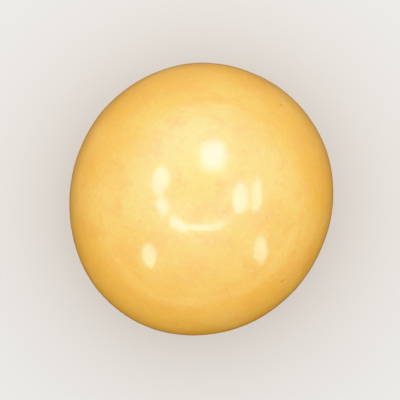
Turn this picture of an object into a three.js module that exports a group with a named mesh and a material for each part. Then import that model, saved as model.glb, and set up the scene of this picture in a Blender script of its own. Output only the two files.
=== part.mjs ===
// A caramel coated hazelnut: one round, glossy panned sweet that lies on a small flat spot.
// Sizes are in millimetres and +Z is up. The origin is the middle of the sweet's footprint on
// the surface that it lies on. Its long way lies along Y, and the tip of the nut points to -Y.

import * as THREE from "three";
import { mergeVertices } from "three/addons/utils/BufferGeometryUtils.js";

// The whole sweet, over everything
const width = 18.8;
const length = 19.8;
const height = 18.6;

// The flat spot below, and the depth over which the round underside turns into it
const footAcross = 5;
const footRounding = 0.06;

// How much narrower the sweet is at the nut's tip than at its middle, as a share
const tipTaper = 0.02;

// Broad, low swells that the tumbling pan leaves in the coating. Each is a wave that crosses
// the whole sweet: its rise and its length from crest to crest.
const swellCount = 9;
const swellRise = 0.012;
const swellLength = 9.5;

// Rows of triangles along each edge of the icosahedron that the sweet is shaped from
const edgeRows = 20;

// The coating's colour and gloss
const caramelColour = 0xf0bf66;
const glazeRoughness = 0.2;

const goldenAngle = Math.PI * (3 - Math.sqrt(5));
const meanRadius = (width + length) / 4;
// The flat spot's height below the widest level, as a share of the full round depth
const footShare = Math.sqrt(1 - (footAcross / 2 / meanRadius) ** 2);
const roundDepth = height / (1 + footShare);

// One direction for each swell, spread evenly over the upper half of a sphere.
function swellDirections() {
  const directions = [];
  for (let k = 0; k < swellCount; k += 1) {
    const rise = 1 - (k + 0.5) / swellCount;
    const reach = Math.sqrt(1 - rise * rise);
    const turn = k * goldenAngle;
    directions.push(new THREE.Vector3(reach * Math.cos(turn), reach * Math.sin(turn), rise));
  }
  return directions;
}

// How far the swells lift the surface whose normal direction from the middle is given.
function swellAt(direction, swells) {
  const wavesAcross = (2 * Math.PI * meanRadius) / swellLength;
  return swells.reduce(
    (sum, swell, k) => sum + swellRise * Math.cos(wavesAcross * direction.dot(swell) + k * k),
    0,
  );
}

// The round body before it is set down: an egg-like ball with its swells.
function bodyPoint(direction, swells) {
  const girth = 1 + tipTaper * direction.y;
  const lift = swellAt(direction, swells);
  return new THREE.Vector3(
    ((width / 2) * girth + lift) * direction.x,
    (length / 2 + lift) * direction.y,
    (roundDepth * girth + lift) * direction.z,
  );
}

// The height of a point once the underside is flattened. Below the rounding it is exactly 0.
function setDown(z) {
  if (z <= -footRounding) {
    return 0;
  }
  if (z >= footRounding) {
    return z;
  }
  return (z + footRounding) ** 2 / (4 * footRounding);
}

// Centres the shape over the origin and brings it to its overall size, flat spot at height 0.
function fitToSize(geometry) {
  geometry.computeBoundingBox();
  const box = geometry.boundingBox;
  const size = box.getSize(new THREE.Vector3());
  const middle = box.getCenter(new THREE.Vector3());
  geometry.translate(-middle.x, -middle.y, -box.min.z);
  geometry.scale(width / size.x, length / size.y, height / size.z);
}

function sweetGeometry() {
  const ball = new THREE.IcosahedronGeometry(1, edgeRows - 1);
  ball.deleteAttribute("normal");
  ball.deleteAttribute("uv");
  const geometry = mergeVertices(ball);
  const swells = swellDirections();
  const positions = geometry.getAttribute("position");
  const middleHeight = footShare * roundDepth;
  for (let i = 0; i < positions.count; i += 1) {
    const direction = new THREE.Vector3().fromBufferAttribute(positions, i).normalize();
    const point = bodyPoint(direction, swells);
    positions.setXYZ(i, point.x, point.y, setDown(point.z + middleHeight));
  }
  fitToSize(geometry);
  geometry.computeVertexNormals();
  return geometry;
}

const coatedHazelnut = new THREE.Mesh(
  sweetGeometry(),
  new THREE.MeshStandardMaterial({
    color: caramelColour,
    roughness: glazeRoughness,
    metalness: 0,
  }),
);
coatedHazelnut.name = "coated_hazelnut";

const sweet = new THREE.Group();
sweet.add(coatedHazelnut);

export default sweet;
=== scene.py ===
"""A caramel coated hazelnut: one glossy, caramel-yellow panned sweet on a pale floor, seen from above.

Lengths are in metres and +Z is up, as in the frame, unless a comment or a name says millimetres.
"""

import math
import random

import bmesh
import bpy
import numpy as np
from mathutils import Matrix, Vector, noise


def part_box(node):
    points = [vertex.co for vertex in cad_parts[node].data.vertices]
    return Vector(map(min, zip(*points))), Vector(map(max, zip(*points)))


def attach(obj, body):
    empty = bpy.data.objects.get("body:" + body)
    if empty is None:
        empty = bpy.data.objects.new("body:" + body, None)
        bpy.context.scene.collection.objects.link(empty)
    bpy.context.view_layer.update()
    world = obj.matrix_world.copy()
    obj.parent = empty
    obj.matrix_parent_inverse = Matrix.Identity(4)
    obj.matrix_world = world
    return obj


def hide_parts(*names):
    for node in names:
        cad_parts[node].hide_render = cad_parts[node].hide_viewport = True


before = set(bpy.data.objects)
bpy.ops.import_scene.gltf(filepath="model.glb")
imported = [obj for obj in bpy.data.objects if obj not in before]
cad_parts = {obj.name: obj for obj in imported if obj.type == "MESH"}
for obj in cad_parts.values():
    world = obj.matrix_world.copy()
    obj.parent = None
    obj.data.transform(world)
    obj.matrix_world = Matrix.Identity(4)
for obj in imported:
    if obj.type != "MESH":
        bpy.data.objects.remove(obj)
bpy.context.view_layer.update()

NODE = "coated_hazelnut"
MM = 0.001

# The sweet's own form, in millimetres, as the solid has it
WIDTH, LENGTH, HEIGHT = 18.8, 19.8, 18.6
FOOT_ACROSS = 5.0
FOOT_ROUNDING = 0.06
TIP_TAPER = 0.02
SWELL_COUNT = 9
SWELL_RISE = 0.012
SWELL_LENGTH = 9.5
GOLDEN_ANGLE = math.pi * (3 - math.sqrt(5))
MEAN_RADIUS = (WIDTH + LENGTH) / 4
# The flat spot cuts the ball off below at this share of its half height, which comes next
FOOT_SHARE = math.sqrt(1 - (FOOT_ACROSS / 2 / MEAN_RADIUS) ** 2)
ROUND_DEPTH = HEIGHT / (1 + FOOT_SHARE)

# Fine relief of the coating, in millimetres: how far it rises and how wide its waves are. Each
# kind is cut from one noise at a place of its own.
RIPPLES = {"wide": (0.026, 3.4), "narrow": (0.012, 1.4), "fine": (0.002, 0.6)}
RIPPLE_PLACE, RIPPLE_STEP = Vector((0, 1.3, 5.1)), Vector((3.7, 0, 0))

# Pinholes left by air and pimples left by sugar grains: their number, and the width and the
# depth or rise of the largest in millimetres. The smallest have the named share of that size.
PINHOLE_COUNT, PINHOLE_WIDTH, PINHOLE_DEPTH = 16, 0.34, 0.03
PIMPLE_COUNT, PIMPLE_WIDTH, PIMPLE_RISE = 22, 0.6, 0.012
SMALLEST_BLEMISH_SHARE = 0.6
BLEMISH_SEED = 7

# Quads along each edge of the cube that the mesh is blown up from
CUBE_ROWS = 124

# The coating's ground colour, and the layers of colour over it. A layer has the width of its
# waves in millimetres, the number of finer waves on them, the noise where it begins and where it
# is strongest, its strength there, and its colour.
GROUND_COLOUR = (0.98, 0.575, 0.14, 1)
COLOUR_LAYERS = {
    "creamy clouds": (5.5, 2, 0.38, 0.62, 1.0, (0.98, 0.63, 0.213, 1)),
    "peachy patches": (1.5, 4, 0.46, 0.66, 0.75, (0.98, 0.537, 0.163, 1)),
    "sugar grains": (0.3, 3, 0.50, 0.75, 0.35, (0.88, 0.44, 0.09, 1)),
    "tiny bubbles": (0.45, 2, 0.46, 0.28, 0.35, (0.98, 0.71, 0.32, 1)),
}

# A few grains of toasted sugar show through the coating as faint dark specks. The places for
# them lie about this far apart in millimetres. A speck's core and its edge are shares of that.
# Each place draws a chance from 0 to 1: up to the first value it has no speck, and from the
# second on its speck is as strong as it gets.
SPECK_SPACING = 2.6
SPECK_CORE, SPECK_EDGE = 0.03, 0.10
SPECK_CHANCES = (0.6, 0.9)
SPECK_STRENGTH = 0.45
SPECK_COLOUR = (0.44, 0.16, 0.02, 1)

# Under the glaze the caramel is satin, a little duller in places: the width of those in
# millimetres, the number of finer waves on them, and the noise and the roughness that it has
# where they begin and where they are strongest
DULL_WAVE, DULL_DETAIL = 2.4, 3
DULL_NOISE = (0.35, 0.7)
SATIN_ROUGHNESS = (0.33, 0.44)

# The fine grain of its surface: width and depth in millimetres, finer waves, and strength
GRAIN_WAVE, GRAIN_DEPTH = 0.35, 0.02
GRAIN_DETAIL = 3
GRAIN_STRENGTH = 0.12

# The other values of the caramel and of the clear glaze over it
CARAMEL_VALUES = {
    "IOR": 1.45,
    "Subsurface Weight": 0.25,
    "Subsurface Radius": (1.0, 0.45, 0.15),
    "Subsurface Scale": 0.9 * MM,
    "Coat Weight": 1.0,
    "Coat Roughness": 0.10,
    "Coat IOR": 1.5,
    "Coat Tint": (1.0, 0.95, 0.70, 1),
}

# The camera looks straight down, turned so that the long way leans to the right of upright
CAMERA_HEIGHT = 0.5
CAMERA_TURN = math.radians(25)
CAMERA_NEAR, CAMERA_FAR = 0.01, 10
TO_CAMERA = Vector((0, 0, 1))
SENSOR_MM = 36
NUT_SHARE_OF_FRAME = 0.67

# Distance of the lamps from the middle of the sweet
LAMP_DISTANCE = 0.4
# Each lamp is set by its reflection on the sweet as the camera sees it. The first pair is its
# place, across and up from the middle, and the second its width and height, all as shares of
# the sweet's radius. Then come its lean in degrees, anticlockwise, its brightness, and the
# share of its width that is fully bright, before it dims towards its edge.
LAMPS = {
    "top_softbox": ((0.104, 0.293), (0.27, 0.33), 17, 8.2, 0.35),
    "top_glow": ((-0.08, 0.33), (1.05, 0.72), 10, 1.35, 0.25),
    "upper_left_strip": ((-0.320, 0.117), (0.18, 0.265), -8, 6.6, 0.6),
    "left_strip": ((-0.298, -0.067), (0.12, 0.17), 14, 6.0, 0.6),
    "lower_left_strip": ((-0.163, -0.203), (0.23, 0.080), -33, 6.6, 0.6),
    "lower_strip": ((-0.009, -0.225), (0.23, 0.068), 1, 6.3, 0.6),
    "lower_right_strip": ((0.127, -0.214), (0.185, 0.060), 20, 4.6, 0.6),
    "right_strip": ((0.300, -0.010), (0.155, 0.295), -4, 6.6, 0.6),
    "outer_right_strip": ((0.417, 0.006), (0.08, 0.295), 2, 5.3, 0.6),
    "left_side_lamp": ((-0.388, -0.394), (0.102, 0.182), 4, 5.7, 0.6),
    "right_side_lamp": ((0.455, -0.384), (0.14, 0.235), 14, 5.2, 0.6),
}
LAMP_COLOUR = (0.70, 0.74, 1.00)

# Soft light from all round for the matt surfaces. Its heights run from straight below, -1, to
# straight above, 1, and lean a little to the top of the view. It is weakest and warmest up to
# the first height and strongest from the second.
SKY_LEAN = math.radians(9)
SKY_HEIGHTS = (-0.35, 0.8)
SKY_WEAKEST = (0.22, 0.19, 0.05, 1)
SKY_STRONGEST = (1.38, 1.38, 1.38, 1)

# What the glaze mirrors of the room: its brightness, and its colour at each height. These
# heights lean more, as the room is lighter at the top of the view, so that the level directions
# reach down to about -0.35. Below them is the floor.
ROOM_LEAN = math.radians(20)
ROOM_BRIGHTNESS = 4.0
ROOM_COLOURS = (
    (-0.40, (0.08, 0.06, 0.03)),
    (-0.12, (0.15, 0.14, 0.13)),
    (0.15, (0.19, 0.22, 0.26)),
    (0.44, (0.28, 0.33, 0.45)),
    (0.70, (0.34, 0.40, 0.69)),
    (0.89, (0.25, 0.29, 0.58)),
    (1.00, (0.14, 0.15, 0.25)),
)
BACKDROP_COLOUR = (0.80, 0.80, 0.80, 1)

FLOOR_COLOUR = (0.70, 0.70, 0.70, 1)
FLOOR_HALF = 1.5
# The colour of the light that the floor sends back up to the sweet
BOUNCED_COLOUR = (0.49, 0.45, 0.13, 1)
# The floor's colours in the glaze. Round a place that lies this far from the foot of the sweet,
# towards the bottom of the view, it has a dark, warm painted shade, and it is pale far from there.
# One colour turns into the other between the two distances.
MIRRORED_SHADE_COLOUR = (0.25, 0.10, 0.01, 1)
MIRRORED_PALE_COLOUR = (0.76, 0.72, 0.60, 1)
MIRRORED_SHIFT = 0.030
MIRRORED_DISTANCES = (0.022, 0.115)

# The picture keeps brightness as it is up to the first value. From there up to the second it
# squeezes it smoothly below full white, as film does, in this many steps.
SHOULDER_START, SHOULDER_END = 0.83, 3.0
SHOULDER_STEPS = 12

# Which sockets of a Mix node take the share and the two colours, and which gives the result
MIX_SHARE, MIX_FIRST, MIX_SECOND = 0, 6, 7
MIX_RESULT = 2


def golden_directions(count):
    """Directions spread evenly over the upper half of a sphere."""
    k = np.arange(count)
    rise = 1 - (k + 0.5) / count
    reach = np.sqrt(1 - rise * rise)
    turn = k * GOLDEN_ANGLE
    return np.stack([reach * np.cos(turn), reach * np.sin(turn), rise], axis=1)


def cube_ball(rows):
    """A cube of even quads blown up to a ball of radius 1."""
    bm = bmesh.new()
    bmesh.ops.create_cube(bm, size=2)
    bmesh.ops.subdivide_edges(bm, edges=bm.edges[:], cuts=rows - 1, use_grid_fill=True)
    for vert in bm.verts:
        evened = Vector([math.tan(c * math.pi / 4) for c in vert.co])
        vert.co = evened.normalized()
    return bm


def broad_swells(directions):
    """The low swells of the solid itself, in millimetres."""
    swells = golden_directions(SWELL_COUNT)
    waves_across = 2 * math.pi * MEAN_RADIUS / SWELL_LENGTH
    phases = np.arange(SWELL_COUNT) ** 2
    return (SWELL_RISE * np.cos(waves_across * directions @ swells.T + phases)).sum(axis=1)


def ripples(directions):
    """Irregular fine waves, in millimetres."""
    lift = np.zeros(len(directions))
    for k, (rise, wave) in enumerate(RIPPLES.values()):
        shift = RIPPLE_PLACE + k * RIPPLE_STEP
        places = directions * (MEAN_RADIUS / wave)
        lift += rise * np.array([noise.noise(Vector(p) + shift) for p in places])
    return lift


def spots(directions, rng, count, width, height):
    """Small round pits or pimples at random places, in millimetres. Each is a soft bell shape."""
    lift = np.zeros(len(directions))
    for _ in range(count):
        place = np.array([rng.gauss(0, 1) for _ in range(3)])
        place /= np.linalg.norm(place)
        size = rng.uniform(SMALLEST_BLEMISH_SHARE, 1)
        away = np.linalg.norm(directions - place, axis=1) * MEAN_RADIUS / (size * width / 2)
        lift += size * height * np.exp(-2 * away ** 2)
    return lift


def body_points(directions):
    """The egg-like ball with all its relief, standing on its flat spot at height 0."""
    rng = random.Random(BLEMISH_SEED)
    lift = broad_swells(directions) + ripples(directions)
    lift += spots(directions, rng, PINHOLE_COUNT, PINHOLE_WIDTH, -PINHOLE_DEPTH)
    lift += spots(directions, rng, PIMPLE_COUNT, PIMPLE_WIDTH, PIMPLE_RISE)
    girth = 1 + TIP_TAPER * directions[:, 1]
    x = (WIDTH / 2 * girth + lift) * directions[:, 0]
    y = (LENGTH / 2 + lift) * directions[:, 1]
    z = (ROUND_DEPTH * girth + lift) * directions[:, 2] + FOOT_SHARE * ROUND_DEPTH
    rounded = (z + FOOT_ROUNDING) ** 2 / (4 * FOOT_ROUNDING)
    z = np.where(z >= FOOT_ROUNDING, z, np.where(z <= -FOOT_ROUNDING, 0, rounded))
    return np.stack([x, y, z], axis=1)


def fitted(points, low, high):
    """The points moved and scaled to fill the box from low to high."""
    least, most = points.min(axis=0), points.max(axis=0)
    return np.array(low) + (points - least) * (np.array(high) - np.array(low)) / (most - least)


def make_sweet():
    """The smooth sweet in place of its faceted solid."""
    bm = cube_ball(CUBE_ROWS)
    mesh = bpy.data.meshes.new("hazelnut_sweet")
    bm.to_mesh(mesh)
    bm.free()
    directions = np.empty(len(mesh.vertices) * 3)
    mesh.vertices.foreach_get("co", directions)
    points = fitted(body_points(directions.reshape(-1, 3)), *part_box(NODE))
    mesh.vertices.foreach_set("co", points.ravel())
    mesh.shade_smooth()
    mesh.update()
    mesh.materials.append(caramel_material())
    sweet = bpy.data.objects.new("hazelnut_sweet", mesh)
    bpy.context.scene.collection.objects.link(sweet)
    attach(sweet, "root")
    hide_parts(NODE)


def add_node(tree, kind, **values):
    """A shader node with the values of its properties and input sockets."""
    node = tree.nodes.new(kind)
    for name, value in values.items():
        if name in node.inputs:
            node.inputs[name].default_value = value
        else:
            setattr(node, name, value)
    return node


def noise_field(tree, place, wave_mm, detail):
    """Soft noise from 0 to 1 whose waves are about the given size."""
    node = add_node(tree, "ShaderNodeTexNoise", Scale=1 / (wave_mm * MM), Detail=detail)
    tree.links.new(place, node.inputs["Vector"])
    return node.outputs["Fac"]


def ranged(tree, value, start, end, to_start, to_end):
    """The value's range from start to end mapped to a new one, smoothly and clamped."""
    limits = {"From Min": start, "From Max": end, "To Min": to_start, "To Max": to_end}
    node = add_node(tree, "ShaderNodeMapRange", interpolation_type="SMOOTHSTEP", **limits)
    tree.links.new(value, node.inputs["Value"])
    return node.outputs["Result"]


def mixed(tree, share, first, second):
    """A mix of two colours, each given as a node's output or as plain numbers."""
    node = add_node(tree, "ShaderNodeMix", data_type="RGBA")
    tree.links.new(share, node.inputs[MIX_SHARE])
    for socket, colour in ((node.inputs[MIX_FIRST], first), (node.inputs[MIX_SECOND], second)):
        if isinstance(colour, tuple):
            socket.default_value = colour
        else:
            tree.links.new(colour, socket)
    return node.outputs[MIX_RESULT]


def specks(tree, place):
    """How strongly a dark speck shows at each place."""
    cells = add_node(tree, "ShaderNodeTexVoronoi", Scale=1 / (SPECK_SPACING * MM), Randomness=1)
    tree.links.new(place, cells.inputs["Vector"])
    near = ranged(tree, cells.outputs["Distance"], SPECK_CORE, SPECK_EDGE, 1, 0)
    chance = add_node(tree, "ShaderNodeSeparateColor")
    tree.links.new(cells.outputs["Color"], chance.inputs["Color"])
    chosen = ranged(tree, chance.outputs["Red"], *SPECK_CHANCES, 0, SPECK_STRENGTH)
    share = add_node(tree, "ShaderNodeMath", operation="MULTIPLY")
    tree.links.new(near, share.inputs[0])
    tree.links.new(chosen, share.inputs[1])
    return share.outputs["Value"]


def caramel_colour(tree, place):
    """The mottled colour of the caramel, with the sugar grains, bubbles and specks in it."""
    colour = GROUND_COLOUR
    for wave, detail, start, strongest, strength, tone in COLOUR_LAYERS.values():
        share = ranged(tree, noise_field(tree, place, wave, detail), start, strongest, 0, strength)
        colour = mixed(tree, share, colour, tone)
    return mixed(tree, specks(tree, place), colour, SPECK_COLOUR)


def caramel_material():
    """Opaque, creamy caramel under a clear glaze."""
    material = bpy.data.materials.new("caramel_glaze")
    material.use_nodes = True
    tree = material.node_tree
    shader = tree.nodes["Principled BSDF"]
    place = add_node(tree, "ShaderNodeTexCoord").outputs["Object"]
    tree.links.new(caramel_colour(tree, place), shader.inputs["Base Color"])

    dull = ranged(tree, noise_field(tree, place, DULL_WAVE, DULL_DETAIL), *DULL_NOISE, *SATIN_ROUGHNESS)
    tree.links.new(dull, shader.inputs["Roughness"])

    grain = add_node(tree, "ShaderNodeBump", Strength=GRAIN_STRENGTH, Distance=GRAIN_DEPTH * MM)
    tree.links.new(noise_field(tree, place, GRAIN_WAVE, GRAIN_DETAIL), grain.inputs["Height"])
    tree.links.new(grain.outputs["Normal"], shader.inputs["Normal"])

    for name, value in CARAMEL_VALUES.items():
        shader.inputs[name].default_value = value
    return material


def floor_material(up):
    """Matt and pale; in the glaze a warm painted shade, and it sends back darker, warmer light."""
    material = bpy.data.materials.new("pale_floor")
    material.use_nodes = True
    tree = material.node_tree
    shader = tree.nodes["Principled BSDF"]
    away = add_node(tree, "ShaderNodeVectorMath", operation="DISTANCE")
    tree.links.new(add_node(tree, "ShaderNodeTexCoord").outputs["Object"], away.inputs[0])
    away.inputs[1].default_value = -MIRRORED_SHIFT * up
    # The dark colour near the sweet is painted shade, which only the glaze shows
    pale = ranged(tree, away.outputs["Value"], *MIRRORED_DISTANCES, 0, 1)
    in_glaze = mixed(tree, pale, MIRRORED_SHADE_COLOUR, MIRRORED_PALE_COLOUR)
    ray = add_node(tree, "ShaderNodeLightPath")
    colour = mixed(tree, ray.outputs["Is Diffuse Ray"], FLOOR_COLOUR, BOUNCED_COLOUR)
    colour = mixed(tree, ray.outputs["Is Glossy Ray"], colour, in_glaze)
    tree.links.new(colour, shader.inputs["Base Color"])
    shader.inputs["Roughness"].default_value = 1
    shader.inputs["Specular IOR Level"].default_value = 0
    return material


def make_floor(up):
    """A wide, flat floor at height 0."""
    mesh = bpy.data.meshes.new("floor")
    corners = [(x * FLOOR_HALF, y * FLOOR_HALF, 0) for x, y in ((-1, -1), (1, -1), (1, 1), (-1, 1))]
    mesh.from_pydata(corners, [], [(0, 1, 2, 3)])
    mesh.materials.append(floor_material(up))
    floor = bpy.data.objects.new("floor", mesh)
    bpy.context.scene.collection.objects.link(floor)


def leaning_height(tree, up, lean):
    """The height of each direction of the world, from -1 to 1, along an axis that leans to up."""
    node = add_node(tree, "ShaderNodeVectorMath", operation="DOT_PRODUCT")
    tree.links.new(add_node(tree, "ShaderNodeTexCoord").outputs["Generated"], node.inputs[0])
    node.inputs[1].default_value = up * math.sin(lean) + Vector((0, 0, math.cos(lean)))
    return node.outputs["Value"]


def soft_light(tree, up):
    """The light from all round that falls on matt surfaces."""
    share = ranged(tree, leaning_height(tree, up, SKY_LEAN), *SKY_HEIGHTS, 0, 1)
    light = add_node(tree, "ShaderNodeBackground")
    tree.links.new(mixed(tree, share, SKY_WEAKEST, SKY_STRONGEST), light.inputs["Color"])
    return light.outputs["Background"]


def mirrored_room(tree, up):
    """The room as the glaze mirrors it."""
    share = add_node(tree, "ShaderNodeMapRange", **{"From Min": -1})
    tree.links.new(leaning_height(tree, up, ROOM_LEAN), share.inputs["Value"])
    ramp = add_node(tree, "ShaderNodeValToRGB")
    stops = ramp.color_ramp.elements
    while len(stops) < len(ROOM_COLOURS):
        stops.new(0.5)
    for stop, (height, colour) in zip(stops, ROOM_COLOURS):
        stop.position = (height + 1) / 2
        stop.color = (*colour, 1)
    tree.links.new(share.outputs["Result"], ramp.inputs["Fac"])
    room = add_node(tree, "ShaderNodeBackground", Strength=ROOM_BRIGHTNESS)
    tree.links.new(ramp.outputs["Color"], room.inputs["Color"])
    return room.outputs["Background"]


def switched(tree, switch, usual, special):
    """The special shader for the rays that the switch picks, and the usual one for the others."""
    node = add_node(tree, "ShaderNodeMixShader")
    for socket, source in zip(node.inputs, (switch, usual, special)):
        tree.links.new(source, socket)
    return node.outputs["Shader"]


def make_sky(up):
    """Soft light from all round, the room that the glaze mirrors, and an even pale backdrop."""
    world = bpy.data.worlds.new("soft_room")
    bpy.context.scene.world = world
    world.use_nodes = True
    world.cycles.sampling_method = "NONE"
    tree = world.node_tree
    tree.nodes.clear()
    ray = add_node(tree, "ShaderNodeLightPath")
    backdrop = add_node(tree, "ShaderNodeBackground", Color=BACKDROP_COLOUR).outputs["Background"]
    shown = switched(tree, ray.outputs["Is Glossy Ray"], soft_light(tree, up), mirrored_room(tree, up))
    shown = switched(tree, ray.outputs["Is Camera Ray"], shown, backdrop)
    tree.links.new(shown, add_node(tree, "ShaderNodeOutputWorld").inputs["Surface"])


def soften(lamp_data, core):
    """Dims a lamp smoothly from its bright core out to its edge."""
    lamp_data.use_nodes = True
    tree = lamp_data.node_tree
    # Places on a lamp run from 0 to 1 both ways, so its middle is at a half of each
    from_middle = add_node(tree, "ShaderNodeVectorMath", operation="DISTANCE")
    tree.links.new(add_node(tree, "ShaderNodeNewGeometry").outputs["Parametric"], from_middle.inputs[0])
    from_middle.inputs[1].default_value = (0.5, 0.5, 0)
    glow = ranged(tree, from_middle.outputs["Value"], core / 2, 0.5, 1, 0)
    tree.links.new(glow, tree.nodes["Emission"].inputs["Strength"])


def make_lamp(name, centre, across, up):
    """A soft lamp whose reflection on the sweet has the place and size that LAMPS gives."""
    (x, y), (wide, tall), lean, brightness, core = LAMPS[name]
    out = math.hypot(x, y)
    # The lamp stands away from the camera's line by twice the slope of the sweet at that place
    tilt = 2 * math.asin(out)
    outward = (across * x + up * y) / out
    around = TO_CAMERA.cross(outward)
    away = TO_CAMERA * math.cos(tilt) + outward * math.sin(tilt)
    outward_there = outward * math.cos(tilt) - TO_CAMERA * math.sin(tilt)

    def seen_as(length, angle):
        """The lamp's edge that is seen as a line of that length and angle on the sweet."""
        turn = math.radians(angle) - math.atan2(y, x)
        outward_part = math.cos(turn) / math.cos(tilt / 2)
        around_part = math.sin(turn) * math.cos(tilt / 2)
        return 2 * length * LAMP_DISTANCE * (outward_there * outward_part + around * around_part)

    edge_up = seen_as(tall, 90 + lean)
    edge_across = seen_as(wide, lean)
    data = bpy.data.lights.new(name, "AREA")
    data.shape = "ELLIPSE"
    data.size, data.size_y = edge_across.length, edge_up.length
    # An ellipse that gives off this energy has the wanted brightness
    data.energy = brightness * math.pi ** 2 / 4 * data.size * data.size_y
    data.color = LAMP_COLOUR
    soften(data, core)
    lamp = bpy.data.objects.new(name, data)
    rise = edge_up.normalized()
    turned = Matrix((rise.cross(away), rise, away)).transposed().to_4x4()
    lamp.matrix_world = Matrix.Translation(centre + away * LAMP_DISTANCE) @ turned
    lamp.visible_camera = False
    lamp.visible_diffuse = False
    bpy.context.scene.collection.objects.link(lamp)


def make_camera(centre):
    """A camera straight above the sweet, which fills the named share of its frame."""
    data = bpy.data.cameras.new("camera")
    data.sensor_width = SENSOR_MM
    nut_across = 2 * MEAN_RADIUS * MM
    data.lens = SENSOR_MM * NUT_SHARE_OF_FRAME * CAMERA_HEIGHT / nut_across
    data.clip_start, data.clip_end = CAMERA_NEAR, CAMERA_FAR
    camera = bpy.data.objects.new("camera", data)
    camera.location = centre + TO_CAMERA * CAMERA_HEIGHT
    camera.rotation_euler = (0, 0, CAMERA_TURN)
    bpy.context.scene.collection.objects.link(camera)
    bpy.context.scene.camera = camera


def roll_off_highlights():
    """Lets bright places turn slowly paler instead of clipping."""
    view = bpy.context.scene.view_settings
    view.view_transform = "Standard"
    view.use_curve_mapping = True
    mapping = view.curve_mapping
    mapping.white_level = (SHOULDER_END, SHOULDER_END, SHOULDER_END)
    # The last curve is the one for all three colours
    curve = mapping.curves[-1]
    headroom = 1 - SHOULDER_START
    for k in range(SHOULDER_STEPS):
        bright = SHOULDER_START + (SHOULDER_END - SHOULDER_START) * (k / SHOULDER_STEPS) ** 2
        shown = 1 - headroom * math.exp((SHOULDER_START - bright) / headroom)
        curve.points.new(bright / SHOULDER_END, shown)
    for point in curve.points:
        point.handle_type = "VECTOR"
    mapping.update()


def main():
    """Makes the sweet, and the floor, light and camera for its picture."""
    low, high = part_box(NODE)
    centre = (Vector(low) + Vector(high)) / 2
    across = Vector((math.cos(CAMERA_TURN), math.sin(CAMERA_TURN), 0))
    up = Vector((-math.sin(CAMERA_TURN), math.cos(CAMERA_TURN), 0))
    make_sweet()
    make_floor(up)
    make_sky(up)
    make_camera(centre)
    for name in LAMPS:
        make_lamp(name, centre, across, up)
    roll_off_highlights()


main()
